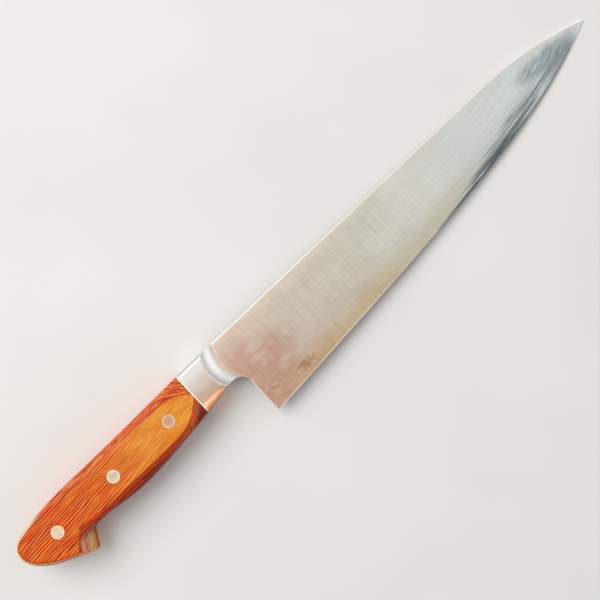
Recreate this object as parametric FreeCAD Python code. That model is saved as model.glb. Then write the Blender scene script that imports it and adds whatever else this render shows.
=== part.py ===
import FreeCAD, Part
import math
import os

# Chef knife with a full tang: a 240 mm gyuto blade, two bolster cheeks, two
# contoured handle scales and three two-part cutlery rivets.  Millimetres.
#
# Working frame: +X to the tip, +Y to the spine, Z across the blade.  X = 0 is
# the seam between the bolster and the scales, Y = 0 the line of the spine and
# Z = 0 the middle of the blade.  At the end everything moves together to the
# part's own frame, where the knife lies on its left side with the origin under
# the centre of its bounding box.

V = FreeCAD.Vector

# ---- driving dimensions: blade ----
blade_length = 240.0          # heel to tip
heel_height = 44.5            # spine line to the edge at the heel
tip_drop = 10.0               # tip below the spine line
spine_straight = 181.0        # heel to the point where the spine starts to fall
edge_rise = 18.0              # part of the edge's rise that is a straight line
belly_power = 5               # how late the rest of the rise comes
spine_thickness = 2.2         # at the bolster
tip_thickness = 0.8           # spine thickness at the tip
distal_power = 2.2            # how late the spine thins
convexity = 1.6               # 1 is a flat grind, more is rounder
shoulder_thickness = 0.36     # where the sharpened bevel starts
bevel_height = 0.9            # sharpened bevel
edge_thickness = 0.06         # the edge itself
tip_blunt = 0.7               # the point is this much short of a perfect one

# ---- driving dimensions: bolster and choil ----
bolster_length = 13.0         # seam to the neck
bolster_front = 11.9          # seam to the front edge of the cheek's flat, at its middle
bolster_middle = 10.5         # that middle, below the spine line
bolster_bow = 9.0             # from that middle to where the front edge is swept forward
bolster_sweep = 2.2           # how far it is forward there
bolster_run = 6.2             # length of the hollow front slope
bolster_hollow = 10.4         # radius of the slope's hollow
bolster_rounding = 2.0        # long edges of the cheeks
neck_depth = 19.5             # spine line to the belly side of the neck
heel_at = 23.6                # seam to the heel
choil_radius = 5.5            # between the neck and the heel

# ---- driving dimensions: handle ----
handle_length = 106.5         # seam to butt
butt_length = 35.0            # butt to the neck in front of the hook
back_drop = 1.3               # back of the handle below the spine line, at that neck
seam_depth = 22.2             # belly side at the seam
belly_slope = 0.12            # slope of the belly side at the seam
belly_at = 44.0               # seam to the deepest point of the grip
belly_depth = 26.3            # deepest point of the grip
hook_neck_depth = 23.9        # grip at the neck in front of the hook
hook_depth = 33.0             # depth of the hook's point
hook_angle = 60.0             # the hook's front face, from the long axis
hook_point_radius = 1.4
hook_throat_radius = 3.4
hook_setback = 7.0            # how far the front face leans back from the tang to the flat
butt_profile = ((13.5, 2.9), (5.4, 4.5), (0.3, 9.6), (1.9, 17.5), (12.4, 25.9))
#                             tangent arcs round the butt end here: (ahead of the butt, depth)
grip_half_thickness = 9.0     # half the handle's thickness, along the flat
flat_ends_at = 36.0           # the sides are flat from the butt to here
waist_drop = 1.3              # how much thinner each side is at the seam
grip_rounding = 5.4           # long edges in the middle of the grip
butt_rounding = 2.4           # edges round the butt and the hook

# ---- driving dimensions: tang and rivets ----
tang_thickness = 2.2
rivet_first = 16.0            # seam to the first rivet
rivet_pitch = 34.95
rivet_depth = 12.85           # first rivet below the spine line
rivet_fall = 0.9              # each next rivet is this much deeper
rivet_head = 6.4              # diameter of the heads
rivet_head_depth = 1.8        # from the handle's flat to the head's seat
rivet_tube = 5.0              # outside of the female half
rivet_pin = 3.4               # pin of the male half
rivet_end_gap = 0.6           # between the pin's end and the bottom of its bore
tang_clearance = 0.1          # radial, rivet tube in the tang's hole

# ---- values that follow ----
tang_half = tang_thickness / 2
grip_length = handle_length - butt_length
slab = 60.0                   # larger than the knife's depth and thickness
tip_at = heel_at + blade_length
back_slope = back_drop / (bolster_length + grip_length)
seam_slope = 2 * waist_drop / flat_ends_at
seat_proud = 0.01       # the cutter of a cheek's seat past the spine, so that no two faces coincide
cheek_from = spine_thickness * 0.3      # nearer the middle than the blade's side under a cheek
grip_sections = 20
bow_steps = 3           # tangent hollows on each side of the middle one
rivet_centres = [V(-rivet_first - i * rivet_pitch, -rivet_depth - i * rivet_fall, 0)
                 for i in range(3)]


def bezier(*poles):
    curve = Part.BezierCurve()
    curve.setPoles(poles)
    return curve.toShape()


def box(x0, x1, y0, y1, z0, z1):
    return Part.makeBox(x1 - x0, y1 - y0, z1 - z0, V(x0, y0, z0))


def rounded(solid, edges):
    """Solid with a fillet on each of the edges, given as (number, radius, radius)."""
    document = FreeCAD.newDocument("fillet")
    base = document.addObject("Part::Feature", "base")
    base.Shape = solid
    fillet = document.addObject("Part::Fillet", "rounded")
    fillet.Base = base
    fillet.Edges = edges
    document.recompute()
    shape = fillet.Shape.copy()
    FreeCAD.closeDocument(document.Name)
    return shape.Solids[0]


def upright_edge(solid, corner):
    """Number of the edge along Z that stands on a corner of the outline."""
    for number, edge in enumerate(solid.Edges, 1):
        ends = [v.Point for v in edge.Vertexes]
        if len(ends) == 2 and all(math.hypot(p.x - corner.x, p.y - corner.y) < 1e-3 for p in ends):
            return number
    raise ValueError("no upright edge at %s" % corner)


def turned_to_left(shape):
    """The mirror image across the middle of the blade."""
    return shape.mirror(V(0, 0, 0), V(0, 0, 1))


# ---- outline of handle, bolster and neck, seen from the side ----

def turned(vector, degrees):
    return FreeCAD.Rotation(V(0, 0, 1), degrees).multVec(vector)


def tangent_arcs(start, direction, points):
    """Arcs through the points, each leaving where the last one ends, and the last direction."""
    edges = []
    for end in points:
        chord = end - start
        half = math.degrees(direction.getAngle(chord))
        half = math.copysign(half, direction.cross(chord).z)
        radius = chord.Length / (2 * math.sin(math.radians(half)))
        step = 2 * radius * math.sin(math.radians(half / 2))
        middle = start + turned(direction, half / 2) * step
        edges.append(Part.Arc(start, middle, end).toShape())
        start = end
        direction = turned(direction, 2 * half)
    return edges, direction


back_end = V(-grip_length, -back_drop, 0)
hook_neck = V(-grip_length, -hook_neck_depth, 0)
deepest = V(-belly_at, -belly_depth, 0)
seam_low = V(0, -seam_depth, 0)
bolster_low = V(bolster_length, -neck_depth, 0)
neck_start = V(heel_at - choil_radius, -neck_depth, 0)
choil_end = V(heel_at, -neck_depth - choil_radius, 0)


def butt_edges():
    """From the end of the straight back, round the butt and the hook, to the hook's neck."""
    points = [V(ahead - handle_length, -depth, 0) for ahead, depth in butt_profile]
    arcs, direction = tangent_arcs(back_end, V(-1, -back_slope, 0).normalize(), points)
    point = points[-1] + direction * ((points[-1].y + hook_depth) / -direction.y)
    rise = hook_depth - hook_neck_depth
    throat = point + V(rise / math.tan(math.radians(hook_angle)), rise, 0)
    lines = [Part.makeLine(points[-1], point), Part.makeLine(point, throat),
             Part.makeLine(throat, hook_neck)]
    return arcs + lines, point, throat


def belly_edges():
    """From the hook's neck over the deepest point of the grip to the seam."""
    rear = (deepest.x - hook_neck.x) * 0.4
    front = -deepest.x * 0.28
    return [
        bezier(hook_neck, hook_neck + V(rear, 0, 0), deepest - V(rear, 0, 0), deepest),
        bezier(deepest, deepest + V(front, 0, 0), seam_low - V(front, front * belly_slope, 0), seam_low),
    ]


def handle_prism(z0, z1):
    """Handle, bolster and neck as one straight-walled slab, its corners rounded in plan."""
    butt, point, throat = butt_edges()
    diagonal = choil_radius * math.sqrt(0.5)
    choil_middle = V(neck_start.x + diagonal, choil_end.y + diagonal, 0)
    front = [
        Part.makeLine(seam_low, bolster_low),
        Part.makeLine(bolster_low, neck_start),
        Part.Arc(neck_start, choil_middle, choil_end).toShape(),
        Part.makeLine(choil_end, V(heel_at, 0, 0)),
        Part.makeLine(V(heel_at, 0, 0), V(bolster_length, 0, 0)),
        Part.makeLine(V(bolster_length, 0, 0), back_end),
    ]
    face = Part.Face(Part.Wire(butt + belly_edges() + front))
    face.translate(V(0, 0, z0))
    solid = face.extrude(V(0, 0, z1 - z0))
    corners = ((point, hook_point_radius), (throat, hook_throat_radius))
    return rounded(solid, [(upright_edge(solid, c), r, r) for c, r in corners])


# ---- blade with its tang ----

def spine_y(x):
    past = max(0.0, x - heel_at - spine_straight)
    return -tip_drop * (past / (blade_length - spine_straight)) ** 2


def edge_y(x):
    along = (x - heel_at) / blade_length
    curved = heel_height - tip_drop - edge_rise
    return -heel_height + edge_rise * along + curved * along ** belly_power


def blade_section(x, proud):
    """Closed section across the blade: spine, two convex sides, two bevels, edge."""
    top = spine_y(x) + proud
    edge = edge_y(x)
    along = max(0.0, (x - heel_at) / blade_length)
    spine_half = (tip_thickness + (spine_thickness - tip_thickness) * (1 - along ** distal_power)) / 2
    shoulder_half = min(shoulder_thickness / 2, 0.6 * spine_half)
    shoulder = edge + min(bevel_height, 0.35 * (top - edge))
    steps = [0.0, 1 / 3, 2 / 3, 1.0]
    side = [(top + (shoulder - top) * s,
             shoulder_half + (spine_half - shoulder_half) * (1 - s ** convexity)) for s in steps]
    right = Part.BSplineCurve()
    right.interpolate([V(x, y, z) for y, z in side])
    left = Part.BSplineCurve()
    left.interpolate([V(x, y, -z) for y, z in reversed(side)])
    edge_half = edge_thickness / 2
    corners = [V(x, shoulder, shoulder_half), V(x, edge, edge_half), V(x, edge, -edge_half),
               V(x, shoulder, -shoulder_half)]
    bevels = [Part.makeLine(a, b) for a, b in zip(corners, corners[1:])]
    spine = Part.makeLine(V(x, top, -spine_half), V(x, top, spine_half))
    return Part.Wire([right.toShape()] + bevels + [left.toShape(), spine])


def ground_blade(proud):
    """The blade, its spine raised by proud, through sections that crowd towards the tip."""
    first = bolster_length
    last = tip_at - tip_blunt
    count = 13
    sections = []
    for i in range(count + 1):
        share = 1 - (1 - i / count) ** 1.5
        sections.append(blade_section(first + (last - first) * share, proud))
    return Part.makeLoft(sections, True, False)


def choil_cutter():
    """Everything on the belly side of the neck, up to the heel."""
    beside = box(0, heel_at, -heel_height - slab, 0, -slab / 2, slab / 2)
    return beside.cut(handle_prism(-slab, slab))


def blade():
    """Blade and full tang, one piece of steel, drilled for the rivets."""
    tang = handle_prism(-tang_half, tang_half)
    tang = tang.common(box(-slab * 3, bolster_length, -slab, slab, -slab, slab))
    shape = ground_blade(0.0).cut(choil_cutter()).fuse(tang)
    for centre in rivet_centres:
        hole = Part.makeCylinder(rivet_tube / 2 + tang_clearance, slab, centre - V(0, 0, slab / 2))
        shape = shape.cut(hole)
    return shape.removeSplitter()


# ---- bolster cheeks ----

def cheek_top(x):
    """Height of the cheek's flat, which carries on the slope of the scale at the seam."""
    return grip_half_thickness - waist_drop - seam_slope * x


def above_cheek():
    """Everything over the plane of the cheek's flat."""
    corners = [V(0, -slab, cheek_top(0)), V(slab, -slab, cheek_top(slab)),
               V(slab, -slab, slab), V(0, -slab, slab)]
    return Part.Face(Part.makePolygon(corners + corners[:1])).extrude(V(0, 2 * slab, 0))


def slope_cutter():
    """What lies ahead of the hollow front slope, whose edge bows towards the handle."""
    edge = V(0, 0, cheek_top(bolster_front))
    seat = V(bolster_run, 0, spine_thickness / 2)
    chord = seat - edge
    to_centre = V(-chord.z, 0, chord.x).normalize()
    centre = (seat + edge) / 2 + to_centre * math.sqrt(bolster_hollow ** 2 - chord.Length ** 2 / 4)
    drop = centre.z - cheek_from
    low = V(centre.x - math.sqrt(bolster_hollow ** 2 - drop ** 2), 0, cheek_from)
    side = V(centre.x - bolster_hollow, 0, centre.z)
    corners = [side, V(side.x, 0, slab), V(slab, 0, slab), V(slab, 0, cheek_from), low]
    lines = [Part.makeLine(a, b) for a, b in zip(corners, corners[1:])]
    face = Part.Face(Part.Wire(lines + [Part.Arc(low, edge, side).toShape()]))
    face.translate(V(0, -slab, 0))
    ahead = face.extrude(V(0, 2 * slab, 0))
    cutter = box(0, slab, -slab, slab, 0, slab)
    for i in range(-bow_steps, bow_steps + 1):
        share = i / bow_steps
        piece = ahead.copy()
        turn = math.degrees(math.atan(2 * bolster_sweep * share / bolster_bow))
        piece.rotate(V(0, 0, 0), V(0, 0, 1), turn)
        piece.translate(V(bolster_front + bolster_sweep * share ** 2,
                          -bolster_middle - bolster_bow * share, 0))
        cutter = cutter.common(piece)
    return cutter


def rim_edges(solid, keep):
    """Numbers of the edges of the upper rim whose middles pass the test keep."""
    found = []
    for number, edge in enumerate(solid.Edges, 1):
        middle = edge.valueAt((edge.FirstParameter + edge.LastParameter) / 2)
        low = min([v.Z for v in edge.Vertexes] + [middle.z])
        if low > grip_half_thickness / 2 and keep(middle):
            found.append(number)
    return found


def bolster_right():
    """Right cheek, seated on the tang and the blade, with rounded long edges and a hollow front."""
    cheek = handle_prism(0, grip_half_thickness)
    cheek = cheek.common(box(0, heel_at, -slab, slab, cheek_from, slab)).cut(above_cheek()).Solids[0]
    rim = rim_edges(cheek, lambda p: 0.01 < p.x < heel_at - choil_radius / 2)
    cheek = rounded(cheek, [(number, bolster_rounding, bolster_rounding) for number in rim])
    tang = box(-slab, bolster_length, -slab, slab, -slab, tang_half)
    return cheek.cut(slope_cutter()).cut(tang).cut(ground_blade(seat_proud))


# ---- handle scales ----

def depth_at(edges, x):
    """Height of a curve of the outline at x."""
    cut = Part.makeLine(V(x, -slab, 0), V(x, slab, 0))
    return cut.distToShape(Part.makeCompound(edges))[1][0][0].y


def grip_section(x, belly):
    """Closed section of the right scale: two rounded corners on a flat back."""
    share = -x / grip_length
    edge = bolster_rounding + (butt_rounding - bolster_rounding) * share
    radius = edge + (grip_rounding - edge) * math.sin(math.pi * share)
    back = -back_slope * (bolster_length - x)
    deep = depth_at(belly, x)
    top = grip_half_thickness - waist_drop * max(0.0, 1 + x / flat_ends_at) ** 2
    slant = radius * (1 - math.sqrt(0.5))
    points = [V(x, back, tang_half), V(x, back, top - radius), V(x, back - radius, top),
              V(x, deep + radius, top), V(x, deep, top - radius), V(x, deep, tang_half)]
    corners = [V(x, back - slant, top - slant), V(x, deep + slant, top - slant)]
    return Part.Wire([
        Part.makeLine(points[0], points[1]),
        Part.Arc(points[1], corners[0], points[2]).toShape(),
        Part.makeLine(points[2], points[3]),
        Part.Arc(points[3], corners[1], points[4]).toShape(),
        Part.makeLine(points[4], points[5]),
        Part.makeLine(points[5], points[0]),
    ])


def notch_cutter():
    """What lies ahead of the hook, its wall leaning back from the tang towards the flat."""
    point, throat = butt_edges()[1:]
    radius = hook_throat_radius
    reach = radius * math.tan(math.radians(hook_angle / 2))
    down = (point - throat).normalize()
    arc_start = throat + V(reach, 0, 0)
    arc_end = throat + down * reach
    middle = throat + V(reach, -radius, 0) + turned(V(0, 1, 0), hook_angle / 2) * radius
    low = throat + down * slab
    corner = V(slab, low.y, 0)
    face = Part.Face(Part.Wire([
        Part.Arc(arc_start, middle, arc_end).toShape(),
        Part.makeLine(arc_end, low),
        Part.makeLine(low, corner),
        Part.makeLine(corner, V(slab, throat.y, 0)),
        Part.makeLine(V(slab, throat.y, 0), arc_start),
    ]))
    face.translate(V(0, 0, tang_half))
    lean = V(-hook_setback, 0, grip_half_thickness - tang_half)
    return face.extrude(lean * 1.2)         # a little past the flat


def butt_block():
    """The rear of the right scale, behind the hook's neck, with its rim rounded."""
    block = handle_prism(tang_half, grip_half_thickness)
    block = block.common(box(-slab * 3, -grip_length, -slab, slab, 0, slab))
    block = block.cut(notch_cutter()).Solids[0]
    rim = rim_edges(block, lambda p: p.x < -grip_length - 0.01)
    return rounded(block, [(number, butt_rounding, butt_rounding) for number in rim])


def scale_blank():
    """The right scale before drilling: the grip through its sections, joined to the butt."""
    belly = belly_edges()
    sections = [grip_section(-grip_length * i / grip_sections, belly) for i in range(grip_sections + 1)]
    return butt_block().fuse(Part.makeLoft(sections, True, True), 0.001)


def scale_right(blank):
    """Right scale, drilled for the tubes and counterbored for the heads."""
    shape = blank
    seat = grip_half_thickness - rivet_head_depth
    for centre in rivet_centres:
        shape = shape.cut(Part.makeCylinder(rivet_tube / 2, slab, centre))
        shape = shape.cut(Part.makeCylinder(rivet_head / 2, slab, centre + V(0, 0, seat)))
    return shape


# ---- rivets ----

def rivet_head_blank(centre, blank):
    """A head, ground flush with the right side of the handle."""
    seat = grip_half_thickness - rivet_head_depth
    head = Part.makeCylinder(rivet_head / 2, slab, centre + V(0, 0, seat))
    return head.common(blank)


def rivet_female(centre, blank):
    """Right half: head and tube, bored for the pin."""
    seat = grip_half_thickness - rivet_head_depth
    tube = Part.makeCylinder(rivet_tube / 2, 2 * seat, centre - V(0, 0, seat))
    bore = Part.makeCylinder(rivet_pin / 2, 2 * seat, centre - V(0, 0, seat))
    return rivet_head_blank(centre, blank).fuse(tube).cut(bore).removeSplitter()


def rivet_male(centre, blank):
    """Left half: head and pin, pressed into the tube."""
    seat = grip_half_thickness - rivet_head_depth
    pin = Part.makeCylinder(rivet_pin / 2, 2 * seat - rivet_end_gap, centre - V(0, 0, seat))
    return turned_to_left(rivet_head_blank(centre, blank)).fuse(pin).removeSplitter()


# ---- assembly ----

def knife():
    blank = scale_blank()
    cheek = bolster_right()
    scale = scale_right(blank)
    parts = {
        "blade": blade(),
        "bolster_right": cheek,
        "bolster_left": turned_to_left(cheek),
        "scale_right": scale,
        "scale_left": turned_to_left(scale),
    }
    for place, centre in zip(("front", "middle", "rear"), rivet_centres):
        parts["rivet_%s_female" % place] = rivet_female(centre, blank)
        parts["rivet_%s_male" % place] = rivet_male(centre, blank)
    return parts


def lay_down(parts):
    """Move all parts so that the origin is under the middle of the whole knife."""
    whole = Part.makeCompound(list(parts.values())).optimalBoundingBox()
    shift = V(-(whole.XMin + whole.XMax) / 2, -(whole.YMin + whole.YMax) / 2, -whole.ZMin)
    for shape in parts.values():
        shape.translate(shift)
    print("overall %.2f x %.2f x %.2f, shifted by %s"
          % (whole.XLength, whole.YLength, whole.ZLength, shift))


os.makedirs("parts", exist_ok=True)
model = knife()
lay_down(model)
for name, shape in model.items():
    shape.exportStep("parts/%s.step" % name)
    print("%-20s %s valid %s, %d solid, %.1f mm3, %d faces"
          % (name, shape.ShapeType, shape.isValid(), len(shape.Solids), shape.Volume, len(shape.Faces)))
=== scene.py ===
import math

import bpy
from mathutils import Matrix, Vector


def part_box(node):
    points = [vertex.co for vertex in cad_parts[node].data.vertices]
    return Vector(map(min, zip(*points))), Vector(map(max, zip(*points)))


# Chef knife lying on its left side: satin steel blade and bolster, laminated wood handle.
# The row frame is in metres: +X to the tip, +Y to the spine, +Z up.

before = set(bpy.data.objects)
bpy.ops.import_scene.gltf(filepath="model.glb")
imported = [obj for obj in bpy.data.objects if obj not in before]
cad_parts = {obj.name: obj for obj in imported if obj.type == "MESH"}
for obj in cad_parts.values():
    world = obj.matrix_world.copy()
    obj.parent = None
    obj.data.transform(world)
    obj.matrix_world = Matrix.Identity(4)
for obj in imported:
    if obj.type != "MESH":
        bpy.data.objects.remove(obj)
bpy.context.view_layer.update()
MM = 0.001

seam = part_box("bolster_right")[0].x            # joint between the bolster and the scales
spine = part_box("bolster_right")[1].y           # line of the spine
middle = (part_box("bolster_right")[0].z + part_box("bolster_left")[1].z) / 2      # of the blade's thickness

# in millimetres, as the materials measure them
half_thickness = (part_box("scale_right")[1].z - middle) / MM
waist_drop = (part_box("scale_right")[1].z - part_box("bolster_right")[1].z) / MM
bolster_end = (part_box("bolster_right")[1].x - seam) / MM       # its front end, beside the heel


# ---- node trees written as sums ----

def srgb(r, g, b):
    """A linear colour from the 0 to 255 values of the screen."""
    shares = [value / 255 for value in (r, g, b)]
    linear = [share / 12.92 if share < 0.04045 else ((share + 0.055) / 1.055) ** 2.4 for share in shares]
    return (*linear, 1.0)


class Field:
    """A value or colour that varies over a surface.  Sums of fields become Math nodes."""

    def __init__(self, tree, socket):
        self.tree = tree
        self.socket = socket

    def math(self, operation, *others):
        node = self.tree.nodes.new("ShaderNodeMath")
        node.operation = operation
        for slot, value in zip(node.inputs, (self,) + others):
            connect(self.tree, value, slot)
        return Field(self.tree, node.outputs[0])

    def __add__(self, other):
        return self.math("ADD", other)

    def __sub__(self, other):
        return self.math("SUBTRACT", other)

    def __mul__(self, other):
        return self.math("MULTIPLY", other)

    def __truediv__(self, other):
        return self.math("DIVIDE", other)

    def power(self, exponent):
        return self.math("POWER", exponent)

    def above(self, low):
        return self.math("MAXIMUM", low)

    def below(self, high):
        return self.math("MINIMUM", high)

    def wave(self):
        """From 0 to 1 and back, once in each unit."""
        return (self * math.tau).math("SINE") * 0.5 + 0.5

    def step(self, low, high):
        """0 at low, 1 at high, smooth between and level beyond.  Low may be the larger one."""
        node = self.tree.nodes.new("ShaderNodeMapRange")
        node.interpolation_type = "SMOOTHSTEP"
        connect(self.tree, self, node.inputs["Value"])
        node.inputs["From Min"].default_value = low
        node.inputs["From Max"].default_value = high
        return Field(self.tree, node.outputs["Result"])


def connect(tree, value, slot):
    """Feeds a socket with a field, or sets it to a plain value."""
    if isinstance(value, Field):
        tree.links.new(value.socket, slot)
    else:
        slot.default_value = value


class Material:
    """A material whose shader is fed by fields of the place in millimetres from the seam and spine."""

    def __init__(self, name):
        self.material = bpy.data.materials.new(name)
        self.material.use_nodes = True
        self.tree = self.material.node_tree
        self.shader = self.tree.nodes["Principled BSDF"]
        place = self.tree.nodes.new("ShaderNodeTexCoord")
        split = self.tree.nodes.new("ShaderNodeSeparateXYZ")
        self.tree.links.new(place.outputs["Object"], split.inputs[0])
        x, y, z = [Field(self.tree, out) for out in split.outputs]
        self.x = (x - seam) / MM                # ahead of the seam
        self.y = (y - spine) / MM               # above the spine line, so mostly below zero
        self.z = (z - middle) / MM              # above the middle plane
        self.out = self.z.math("ABSOLUTE")      # from the middle plane, on either side

    def vector(self, x, y, z):
        node = self.tree.nodes.new("ShaderNodeCombineXYZ")
        for slot, value in zip(node.inputs, (x, y, z)):
            connect(self.tree, value, slot)
        return node.outputs[0]

    def noise(self, x, y, z, detail=3.0, roughness=0.5, distortion=0.0):
        """Noise around 0.5 whose features are one unit of x, y, z across."""
        node = self.tree.nodes.new("ShaderNodeTexNoise")
        node.inputs["Scale"].default_value = 1.0
        node.inputs["Detail"].default_value = detail
        node.inputs["Roughness"].default_value = roughness
        node.inputs["Distortion"].default_value = distortion
        self.tree.links.new(self.vector(x, y, z), node.inputs["Vector"])
        return Field(self.tree, node.outputs["Fac"])

    def ramp(self, field, stops, smooth=True):
        """Colour from stops (place, colour) along a field."""
        low, high = stops[0][0], stops[-1][0]
        node = self.tree.nodes.new("ShaderNodeValToRGB")
        node.color_ramp.interpolation = "EASE" if smooth else "LINEAR"
        connect(self.tree, (field - low) / (high - low), node.inputs["Fac"])
        elements = node.color_ramp.elements
        while len(elements) < len(stops):
            elements.new(0.5)
        for element, (place, tint) in zip(elements, stops):
            element.position = (place - low) / (high - low)
            element.color = tint
        return Field(self.tree, node.outputs["Color"])

    def mix(self, share, first, second, blend="MIX"):
        """The first colour where share is 0, the second (or their blend) where it is 1."""
        node = self.tree.nodes.new("ShaderNodeMix")
        node.data_type = "RGBA"
        node.blend_type = blend
        colours = [slot for slot in node.inputs if slot.type == "RGBA"]
        connect(self.tree, share, node.inputs["Factor"])
        connect(self.tree, first, colours[0])
        connect(self.tree, second, colours[1])
        return Field(self.tree, [out for out in node.outputs if out.type == "RGBA"][0])

    def grained(self, tint, grain, contrast):
        """The colour made lighter and darker by a noise around 0.5."""
        return self.mix(1.0, tint, (grain - 0.5) * contrast + 1.0, "MULTIPLY")

    def spot(self, x, y, half_width, half_height):
        """0 at the place x, y, and 1 on an ellipse round it: the square of the relative distance."""
        return ((self.x - x) / half_width).power(2.0) + ((self.y - y) / half_height).power(2.0)

    def ahead_of_bow(self, x):
        """Distance ahead of a line over the bolster: at x in the middle, bowed forward at its ends."""
        middle_y = -10.5
        half_height = 9.0
        bow = 2.2
        return self.x - ((self.y - middle_y) / half_height).power(2.0) * bow - x

    def bump(self, height, depth_mm):
        node = self.tree.nodes.new("ShaderNodeBump")
        node.inputs["Strength"].default_value = 1.0
        node.inputs["Distance"].default_value = depth_mm * MM
        connect(self.tree, height, node.inputs["Height"])
        self.tree.links.new(node.outputs["Normal"], self.shader.inputs["Normal"])

    def finish(self, tint, roughness):
        connect(self.tree, tint, self.shader.inputs["Base Color"])
        connect(self.tree, roughness, self.shader.inputs["Roughness"])
        return self.material


# ---- materials ----

def steel_tone_and_painted_reflection(steel, cloud, height, below_spine):
    """Steel whose tint is mostly painted reflection: warmer towards the heel and silvery towards the tip,
    paler under the spine, darkened by painted shade and warmed by painted reflection towards the edge, with
    a mottled warm painted reflection over the heel; the pale flecks are the steel's own tone.
    """
    place = steel.x + cloud * 34.0
    # painted reflection: warm beige at the heel turning silvery towards the tip
    body_painted_reflection = steel.ramp(place, [
        (18.0, srgb(190, 167, 150)),
        (34.0, srgb(187, 165, 149)),
        (58.0, srgb(193, 180, 164)),
        (90.0, srgb(196, 189, 174)),
        (140.0, srgb(206, 206, 198)),
        (190.0, srgb(204, 208, 205)),
        (225.0, srgb(199, 206, 206)),
        (262.0, srgb(212, 220, 221)),
    ])
    # painted shade and warm painted reflection: darker, browner steel towards the edge
    low = steel.ramp(place, [
        (18.0, srgb(184, 144, 118)),
        (50.0, srgb(188, 150, 118)),
        (84.0, srgb(192, 170, 136)),
        (140.0, srgb(190, 184, 162)),
        (190.0, srgb(176, 182, 176)),
        (262.0, srgb(172, 180, 182)),
    ])
    tint = steel.mix(height.step(16.0, 0.0) * 0.9, body_painted_reflection, low)
    # painted reflection: paler steel under the spine
    tint = steel.mix(below_spine.step(8.0, 0.0) * 0.30, tint, srgb(212, 200, 188))

    mottle = steel.noise(steel.x / 15.0, steel.y / 8.0, 6.0, detail=3.0, roughness=0.5, distortion=0.4)
    # painted reflection: a warm patch over the heel, broken up by the mottle
    heel_painted_reflection = steel.spot(27.0, -25.0, half_width=27.0, half_height=16.0).step(1.4, 0.1)
    heel_painted_reflection = heel_painted_reflection * (mottle.step(0.30, 0.66) * 0.5 + 0.5)
    tint = steel.mix(heel_painted_reflection * 0.75, tint, srgb(180, 134, 114))
    pale = mottle.step(0.50, 0.36) * steel.x.step(110.0, 30.0)
    return steel.mix(pale * 0.25, tint, srgb(206, 192, 172))


def satin_grain(steel, along, height):
    """Noise in lines: mostly across the blade at the heel, and along it towards the tip."""
    cross = steel.noise(steel.x / 0.8, steel.y / 30.0, 0.0, detail=5.0, roughness=0.7)
    weave = steel.noise(steel.x / 12.0, steel.y / 0.7, 3.0, detail=4.0, roughness=0.6)
    long = steel.noise(steel.x / 45.0, height / 0.55, 0.0, detail=5.0, roughness=0.7)
    front = along.step(0.40, 0.68)
    return (cross * 0.6 + weave * 0.4) * (front * -1.0 + 1.0) + long * front


def worn_steel(steel, tint, height, below_spine):
    """The colour with a worn, darker band along the belly and a smudge that sweeps up from it."""
    band_start = 136.0
    widest = 9.0                                          # the band widens towards the tip
    reach = ((steel.x - band_start).above(0.5) * 0.14).below(widest)
    feather = steel.noise(steel.x / 30.0, height / 1.1, 5.0, detail=4.0, roughness=0.65) - 0.5
    worn = (height / reach + feather * 2.4).step(1.1, 0.25) * steel.x.step(258.0, 247.0)
    streak = steel.noise(steel.x / 34.0, height / 0.95, 9.0, detail=4.0, roughness=0.65)
    dark = steel.ramp(streak, [
        (0.40, srgb(66, 75, 79)),
        (0.52, srgb(108, 116, 118)),
        (0.62, srgb(196, 202, 202)),
    ])
    tint = steel.mix(worn * (steel.x.step(196.0, 236.0) * -0.20 + 0.92), tint, dark)

    rising = steel.y - steel.x * 0.30
    sweep = steel.noise(steel.x / 15.0, rising / 2.4, 2.0, detail=5.0, roughness=0.7, distortion=0.2)
    near = steel.spot(234.0, -10.5, half_width=18.0, half_height=5.0).step(1.5, 0.1)
    near = near * below_spine.step(0.6, 3.0)
    return steel.mix(near * sweep.step(0.32, 0.60) * 0.68, tint, srgb(104, 116, 120))


def rubbed_patches(steel, tint):
    """The colour with two small patches of brown and pale flecks above the edge near the heel."""
    rub = steel.noise(steel.x / 4.5, steel.y / 2.6, 11.0, detail=3.0, roughness=0.55, distortion=0.8)
    for centre_x, centre_y, half_width in ((30.0, -36.0, 4.0), (47.0, -37.0, 7.0)):
        patch = steel.spot(centre_x, centre_y, half_width, half_height=2.6).step(1.6, 0.3)
        tint = steel.mix(patch * rub.step(0.46, 0.62) * 0.55, tint, srgb(146, 104, 80))
        tint = steel.mix(patch * rub.step(0.48, 0.34) * 0.50, tint, srgb(214, 190, 158))
    return tint


def polish_and_painted_highlights(steel, tint, height, below_spine):
    """The colour, polished beside the bolster, with painted highlights in bright lines on the spine, the
    heel and the edge.
    """
    polish = steel.ahead_of_bow(18.2).step(2.6, 0.0) * steel.y.step(-22.0, -19.0)
    # painted highlights: a bright line on the heel's choil face and along the edge
    heel_highlight = (steel.x - bolster_end).step(0.7, 0.2) * steel.y.step(-24.0, -26.0)
    edge_highlight = height.step(0.75, 0.45) * steel.x.step(150.0, 80.0)
    tint = steel.mix(polish * 0.40, tint, srgb(222, 206, 190))
    # painted highlight: a bright line along the spine
    tint = steel.mix(below_spine.step(0.7, 0.15), tint, srgb(248, 242, 230))
    tint = steel.mix(heel_highlight, tint, srgb(232, 204, 190))
    return steel.mix(edge_highlight * 0.8, tint, srgb(238, 216, 204))


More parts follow.
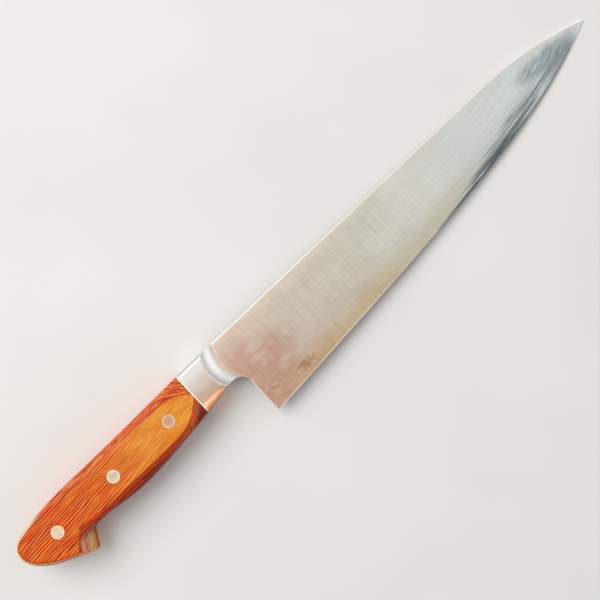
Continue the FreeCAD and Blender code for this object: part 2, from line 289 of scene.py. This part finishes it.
def blade_material():
    steel = Material("satin_blade")
    length = 240.0
    heel_depth = 44.5
    edge_rise = 18.0
    edge_curl = 16.5                                      # further rise, nearly all near the tip
    drop_start = 0.754                                    # along the length, where the spine drops
    spine_drop = 165.0                                    # times the square of the way beyond that
    along = (steel.x - bolster_end) / length              # 0 at the heel, 1 at the tip
    edge = along * edge_rise + along.above(0.0).power(5.0) * edge_curl - heel_depth
    height = steel.y - edge                               # above the cutting edge
    below_spine = (along - drop_start).above(0.0).power(2.0) * -spine_drop - steel.y

    cloud = steel.noise(steel.x / 22.0, steel.y / 12.0, steel.z, detail=4.0) - 0.5
    grain = satin_grain(steel, along, height)
    tint = steel_tone_and_painted_reflection(steel, cloud, height, below_spine)
    tint = worn_steel(steel, tint, height, below_spine)
    tint = rubbed_patches(steel, tint)
    tint = steel.grained(tint, grain, 0.80)
    tint = polish_and_painted_highlights(steel, tint, height, below_spine)
    steel.bump(grain, 0.010)
    steel.shader.inputs["Metallic"].default_value = 1.0
    return steel.finish(tint, cloud * 0.16 + (grain - 0.5) * 0.12 + 0.36)


def bolster_material():
    steel = Material("satin_bolster")
    cloud = steel.noise(steel.x / 5.0, steel.y / 5.0, steel.z / 6.0, detail=3.0) - 0.5
    grain = steel.noise(steel.x / 0.35, steel.y / 7.0, steel.z / 0.35, detail=4.0, roughness=0.7)
    # painted reflection: the flat pales towards the spine, turns grey-beige towards the belly and has a
    # bright orange painted reflection along its lower edge
    flat = steel.ramp(steel.y * -1.0 + cloud * 3.0, [
        (0.0, srgb(206, 202, 199)),
        (4.0, srgb(204, 198, 194)),
        (10.0, srgb(192, 178, 168)),
        (16.0, srgb(178, 154, 132)),
        (18.0, srgb(190, 150, 120)),
        (19.2, srgb(255, 198, 156)),
        (20.8, srgb(236, 152, 106)),
        (22.2, srgb(196, 112, 70)),
    ])
    ahead = steel.ahead_of_bow(11.9)                      # of the front edge of the flat
    # painted light on the facet: a painted shadow line just behind its edge, a painted highlight on the
    # crisp edge, painted reflection bright white over the facet, fading to beige towards the blade
    front = steel.ramp(ahead + cloud * 0.6, [
        (-1.4, srgb(208, 200, 194)),
        (-0.3, srgb(186, 178, 172)),
        (0.1, srgb(248, 248, 248)),
        (0.7, srgb(222, 226, 228)),
        (3.8, srgb(226, 229, 229)),
        (5.6, srgb(208, 201, 194)),
        (7.0, srgb(192, 170, 154)),
        (9.0, srgb(184, 154, 136)),
    ])
    tint = steel.mix(ahead.step(-1.3, -0.1), flat, front)
    # painted highlight: a bright line along the bolster's back edge at the seam
    tint = steel.mix(steel.x.step(0.5, 0.2), tint, srgb(250, 248, 244))
    tint = steel.grained(tint, grain, 0.20)
    steel.bump(grain, 0.006)
    steel.shader.inputs["Metallic"].default_value = 1.0
    return steel.finish(tint, (grain - 0.5) * 0.1 + 0.42)


def rivet_material(place, light, deep):
    """A flush rivet: brushed face, a paler rim and a thin dark joint round it."""
    steel = Material("flush_rivet_" + place)
    low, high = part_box("rivet_%s_female" % place)
    centre_x = ((low.x + high.x) / 2 - seam) / MM
    centre_y = ((low.y + high.y) / 2 - spine) / MM
    radius = (high.x - low.x) / 2 / MM
    outward = steel.spot(centre_x, centre_y, radius, radius).power(0.5)      # 1 at the outline
    cloud = steel.noise(steel.x / 1.6, steel.y / 1.6, steel.z, detail=4.0)
    grain = steel.noise(steel.x / 6.0, steel.y / 0.22, steel.z, detail=3.0)
    tint = steel.ramp(cloud, [(0.3, deep), (0.7, light)])
    tint = steel.mix(outward.step(0.66, 0.86) * 0.6, tint, srgb(226, 196, 168))
    tint = steel.mix(outward.step(0.93, 0.99), tint, srgb(120, 66, 40))
    tint = steel.grained(tint, grain, 0.16)
    steel.bump(grain, 0.006)
    steel.shader.inputs["Metallic"].default_value = 1.0
    return steel.finish(tint, (grain - 0.5) * 0.14 + 0.40)


def butt_edge(wood):
    """Distance in from the outline round the butt, in plan: the least over tangents 11 degrees apart."""
    points = [node.matrix_world @ vertex.co for name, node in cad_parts.items()
              if name.startswith("scale") for vertex in node.data.vertices]
    least = None
    for degrees in range(92, 236, 11):
        angle = math.radians(degrees)
        normal = Vector((math.cos(angle), math.sin(angle)))
        reach = max((point.x - seam) * normal.x + (point.y - spine) * normal.y for point in points) / MM
        inside = wood.x * -normal.x - wood.y * normal.y + reach
        least = inside if least is None else least.below(inside)
    return least


def face_ply(wood, across, wander, patch, fine):
    """The ply under the flat: a pale tongue at the front, streaked and redder towards the butt.

    Gives back its colour, its dark streaks and the noise that breaks them up.
    """
    rear = wood.x.step(-14.0, -76.0)
    wave = (across / 1.18 + wander * 2.4).wave()
    breaks = wood.noise(wood.x / 11.0, across / 1.0, 4.0, detail=3.0)
    tongue = wood.ramp(patch, [(0.3, srgb(230, 134, 30)), (0.7, srgb(244, 164, 62))])
    redder = wood.ramp(patch, [
        (0.34, srgb(218, 50, 0)),
        (0.52, srgb(232, 80, 2)),
        (0.70, srgb(248, 124, 14)),
    ])
    face = wood.mix(rear, tongue, redder)
    dark = (wave * 0.55 + breaks).step(0.76, 1.04)
    face = wood.mix(dark * (rear * 0.62 + 0.26), face, srgb(128, 22, 0))
    pale = (wave * -0.55 + breaks).step(0.22, 0.50)
    face = wood.mix(pale * (rear * 0.42 + 0.14), face, srgb(255, 160, 58))
    return wood.grained(face, fine, 1.3), dark, breaks


def beyond_tongue(wood, ragged):
    """Distance out of the tongue's outline, over its upper or its lower side: 0 inside it."""
    narrowing = 20.0                                      # length at the front over which it narrows
    taper = (wood.x / narrowing + 1.0).above(0.0)
    upper = taper.power(3.0) * -6.6 - 5.0
    lower = taper.power(2.4) * 9.2 - 21.3 + wood.x.step(-58.0, -76.0) * 1.3
    hook_x = -80.3                                        # a point where the flat of the hook starts
    hook_y = -23.1
    before_hook = (wood.x - hook_x - (wood.y - hook_y) * 0.9).step(-0.6, 1.2)
    return (wood.y - upper + ragged).above(0.0) + (lower - wood.y + ragged).above(0.0) * before_hook


def side_plies(wood, outside, depth, wander, fine):
    """The plies beside the tongue, which come to the surface in lines along its outline; on the belly side
    painted shade darkens them.
    """
    inward = outside + (depth - 1.2).above(0.0) * 0.5
    ripple = (inward / 1.30 + wander * 2.0).wave()
    gaps = wood.noise(wood.x / 9.0, inward / 0.8, 6.0, detail=3.0)
    lines = (ripple * 0.75 + gaps * 0.7).step(0.66, 0.98)
    salmon = wood.ramp(wood.noise(wood.x / 7.0, inward / 2.0, 2.0, detail=2.0), [
        (0.35, srgb(214, 66, 20)),
        (0.5, srgb(236, 114, 42)),
        (0.7, srgb(248, 150, 70)),
    ])
    salmon = wood.mix(lines * 0.80, salmon, srgb(148, 34, 14))
    salmon = wood.mix(depth.step(3.0, 5.0) * 0.45, salmon, srgb(250, 160, 104))
    # painted shade: the belly side's plies darken to deep maroon as they turn from the light
    belly_plies_painted_shade = wood.ramp(inward, [
        (0.0, srgb(226, 84, 16)),
        (1.2, srgb(222, 76, 12)),
        (2.6, srgb(202, 62, 8)),
        (4.0, srgb(158, 42, 6)),
        (6.0, srgb(128, 38, 10)),
        (11.0, srgb(150, 60, 26)),
    ])
    paler = wood.x.step(-32.0, -8.0) * inward.step(0.8, 1.6) * inward.step(5.2, 3.4)
    belly_plies_painted_shade = wood.mix(paler * 0.65, belly_plies_painted_shade, srgb(226, 108, 54))
    belly_plies_painted_shade = wood.mix(lines * 0.85, belly_plies_painted_shade, srgb(70, 6, 0))
    plies = wood.mix(wood.y.step(-15.0, -11.0), belly_plies_painted_shade, salmon)
    plies = wood.grained(plies, fine, 0.4)
    line = outside.step(0.05, 0.30) * outside.step(1.0, 0.55) * gaps.step(0.34, 0.48)
    return wood.mix(line * 0.75, plies, srgb(156, 34, 10))


def end_grain(wood, inset, depth, low_end):
    """The ends of the plies: a dark line in from the rim, then pale plies with dark glue between, with
    painted shade at the lower back of the butt.
    """
    pores = wood.noise(wood.x / 0.5, wood.y / 0.5, wood.z / 0.4, detail=3.0)
    ends = wood.ramp(inset + (pores - 0.5) * 0.12, [
        (0.0, srgb(190, 76, 24)),
        (0.10, srgb(112, 36, 8)),
        (0.30, srgb(226, 144, 92)),
        (0.42, srgb(246, 188, 138)),
        (1.60, srgb(250, 200, 150)),
        (2.00, srgb(222, 146, 100)),
        (2.20, srgb(110, 44, 22)),
        (2.45, srgb(216, 140, 96)),
        (3.20, srgb(226, 154, 104)),
        (3.35, srgb(118, 50, 26)),
        (3.60, srgb(226, 166, 116)),
        (4.40, srgb(236, 182, 126)),
        (4.55, srgb(122, 60, 32)),
        (4.80, srgb(214, 158, 104)),
        (5.60, srgb(230, 178, 122)),
        (5.75, srgb(104, 46, 24)),
        (6.00, srgb(204, 144, 92)),
        (6.80, srgb(190, 124, 78)),
        (6.95, srgb(96, 40, 20)),
        (7.20, srgb(174, 104, 64)),
        (8.0, srgb(156, 88, 52)),
    ], smooth=False)
    ply_grain = wood.noise(wood.x / 1.3, wood.y / 1.3, wood.z / 0.24, detail=3.0, roughness=0.6)
    contrast = (pores - 0.5) * 0.8 + (ply_grain - 0.5) * 1.8 + 1.05
    ends = wood.mix(1.0, ends, contrast, "MULTIPLY")
    # painted shade: the ends darken to brown at the lower back of the butt, on the belly side
    shaded = wood.y.step(-14.0, -20.0) * wood.x.step(-84.0, -87.0) * inset.step(0.50, 0.75)
    ends = wood.mix(shaded * 0.80, ends, srgb(104, 50, 14))
    return wood.mix(low_end * depth.step(2.6, 1.8) * 0.6, ends, srgb(196, 92, 62))


def handle_material():
    """Resin-filled laminate: plies parallel to the blade, cut through by the rounded sides."""
    wood = Material("laminated_wood")
    thinning = 36.0                                       # length over which it thins to the bolster
    drop = (wood.x / thinning + 1.0).above(0.0).power(2.0) * waist_drop
    depth = (wood.out * -1.0 - drop + half_thickness).above(0.0)      # below the flat of either side

    askew = math.tan(math.radians(4.0))                   # of the streaks to the spine
    across = wood.y - wood.x * askew + wood.out * 0.3
    wander = wood.noise(wood.x / 34.0, wood.y / 5.0, wood.z / 4.0, detail=2.0) - 0.5
    patch = wood.noise(wood.x / 13.0, wood.y / 3.6, 7.0, detail=2.0)
    fine = wood.noise(wood.x / 10.0, across / 0.28, 1.0, detail=3.0, roughness=0.65)
    face, dark, breaks = face_ply(wood, across, wander, patch, fine)

    outside = beyond_tongue(wood, wander * 1.6 + (patch - 0.5) * 0.9)
    plies = side_plies(wood, outside, depth, wander, fine)
    tint = wood.mix((outside * 1.4 + depth * 0.9).step(0.0, 0.8), face, plies)

    # end grain round the butt and on the front wall of the hook
    low_end = wood.y.step(-22.6, -26.6) * wood.x.step(-70.6, -71.6)
    end = wood.x.step(-84.0, -95.0).above(low_end)
    rim = 1.15                                            # width of the rounded rim, in plan
    inset = depth + (butt_edge(wood) * -1.0 + rim).above(0.0)
    tint = wood.mix(end * inset.step(0.02, 0.10), tint, end_grain(wood, inset, depth, low_end))

    wood.bump(dark * -1.0 + fine * 0.5, 0.02)
    wood.shader.inputs["Specular IOR Level"].default_value = 0.18
    wood.shader.inputs["Coat Weight"].default_value = 0.05
    wood.shader.inputs["Coat Roughness"].default_value = 0.25
    return wood.finish(tint, (breaks - 0.5) * 0.2 + 0.42)


def floor_material():
    ground = Material("pale_floor")
    cloud = ground.noise(ground.x / 90.0, ground.y / 90.0, 0.0, detail=2.0)
    tint = ground.ramp(cloud, [(0.3, srgb(234, 232, 229)), (0.7, srgb(238, 236, 233))])
    ground.shader.inputs["Specular IOR Level"].default_value = 0.1
    return ground.finish(tint, 0.8)


finishes = {
    "blade": blade_material(),
    "bolster": bolster_material(),
    "scale": handle_material(),
    "rivet_front": rivet_material("front", srgb(192, 150, 126), srgb(172, 128, 102)),
    "rivet_middle": rivet_material("middle", srgb(194, 178, 158), srgb(177, 157, 134)),
    "rivet_rear": rivet_material("rear", srgb(204, 182, 154), srgb(192, 166, 138)),
}
for name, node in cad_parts.items():
    finish = next(finishes[start] for start in finishes if name.startswith(start))
    node.data.materials.clear()
    node.data.materials.append(finish)


# ---- floor, light and camera ----

def rest_plane():
    """A plane that touches the handle and the tip, where the knife rests, and so rises to the tip."""
    slope = 0.0294
    touch_x = seam - 21.3 * MM
    touch_z = 0.216 * MM
    bpy.ops.mesh.primitive_plane_add(size=6.0)
    floor = bpy.context.object
    floor.name = "floor"
    floor.location = (touch_x, 0, touch_z)
    floor.rotation_euler = (0, -math.atan(slope), 0)
    floor.data.materials.append(floor_material())


def area_light(name, place, size, power):
    """A round lamp that faces the middle of the knife."""
    data = bpy.data.lights.new(name, "AREA")
    data.shape = "DISK"
    data.size = size
    data.energy = power
    light = bpy.data.objects.new(name, data)
    light.location = place
    light.rotation_euler = (-Vector(place)).to_track_quat("-Z", "Y").to_euler()
    bpy.context.scene.collection.objects.link(light)


def studio_world():
    """A white room that is seen and mirrored brighter than it lights."""
    lit = 0.44
    seen = 0.86
    world = bpy.data.worlds.new("studio")
    world.use_nodes = True
    tree = world.node_tree
    back = tree.nodes["Background"]
    paths = tree.nodes.new("ShaderNodeLightPath")
    direct = Field(tree, paths.outputs["Is Camera Ray"])
    mirrored = Field(tree, paths.outputs["Is Glossy Ray"])
    back.inputs["Color"].default_value = (1.0, 1.0, 1.0, 1.0)
    connect(tree, direct.above(mirrored) * (seen - lit) + lit, back.inputs["Strength"])
    bpy.context.scene.world = world


def camera(place, lens, turn_y, turn_z, turn_x):
    """A camera above the knife that looks down, turned by degrees about the three axes."""
    data = bpy.data.cameras.new("camera")
    data.sensor_width = 36.0
    data.lens = lens
    cam = bpy.data.objects.new("camera", data)
    turn = (Matrix.Rotation(math.radians(turn_y), 4, "Y")
            @ Matrix.Rotation(math.radians(turn_z), 4, "Z")
            @ Matrix.Rotation(math.radians(turn_x), 4, "X"))
    cam.matrix_world = Matrix.Translation(place) @ turn
    bpy.context.scene.collection.objects.link(cam)
    bpy.context.scene.camera = cam


rest_plane()
studio_world()
area_light("key", place=(-0.45, 0.85, 1.15), size=1.4, power=16.0)
area_light("fill", place=(1.30, -0.35, 0.75), size=1.6, power=3.2)
camera(place=(-0.0354, -0.0070, 0.3789), lens=46.8, turn_y=-1.41, turn_z=-43.71, turn_x=3.3)
bpy.context.scene.view_settings.view_transform = "Standard"
